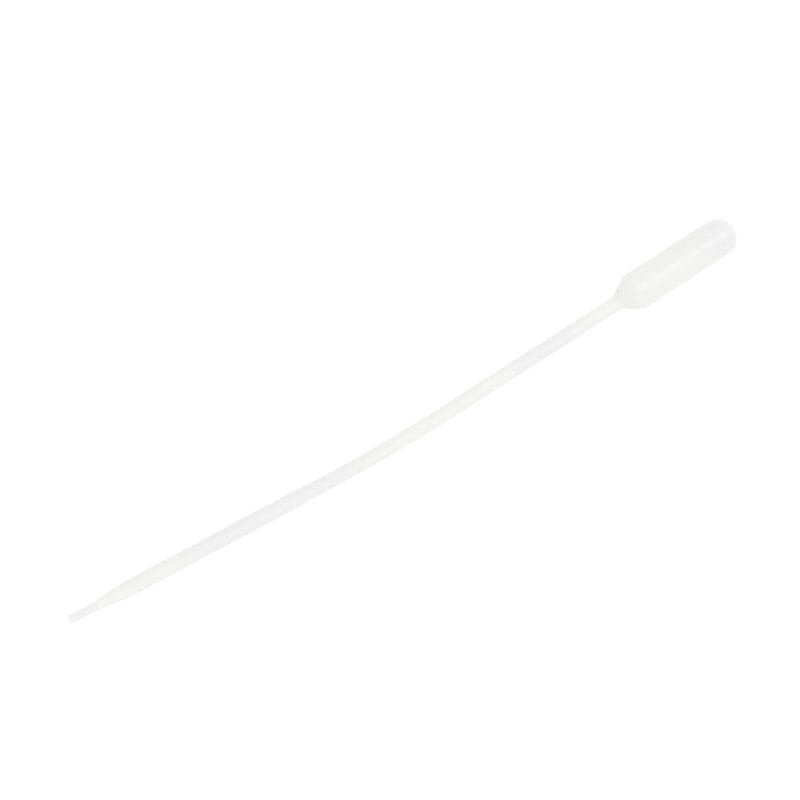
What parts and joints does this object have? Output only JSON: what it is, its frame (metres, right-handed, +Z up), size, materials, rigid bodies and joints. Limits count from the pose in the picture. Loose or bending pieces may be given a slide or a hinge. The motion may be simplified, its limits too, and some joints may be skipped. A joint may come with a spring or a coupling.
{
  "type": "transfer pipette",
  "caption": "One-piece blow-moulded plastic dropper pipette, extra long: open drawn nozzle, slim bent stem and closed squeeze bulb, lying as it rests.",
  "frame": {"origin": "on the surface the pipette lies on, under the centre of its bounding box", "axes": "+Z up from that surface, +X along the straight lower stem from the open nozzle towards the bulb, and the bulb leans towards +Y"},
  "size_m": [0.2996, 0.023, 0.0166],
  "materials": {
    "polyethylene": "milky translucent natural low-density polyethylene with a soft satin gloss"
  },
  "bodies": {
    "root": {"pipette": "polyethylene"}
  },
  "joints": []
}
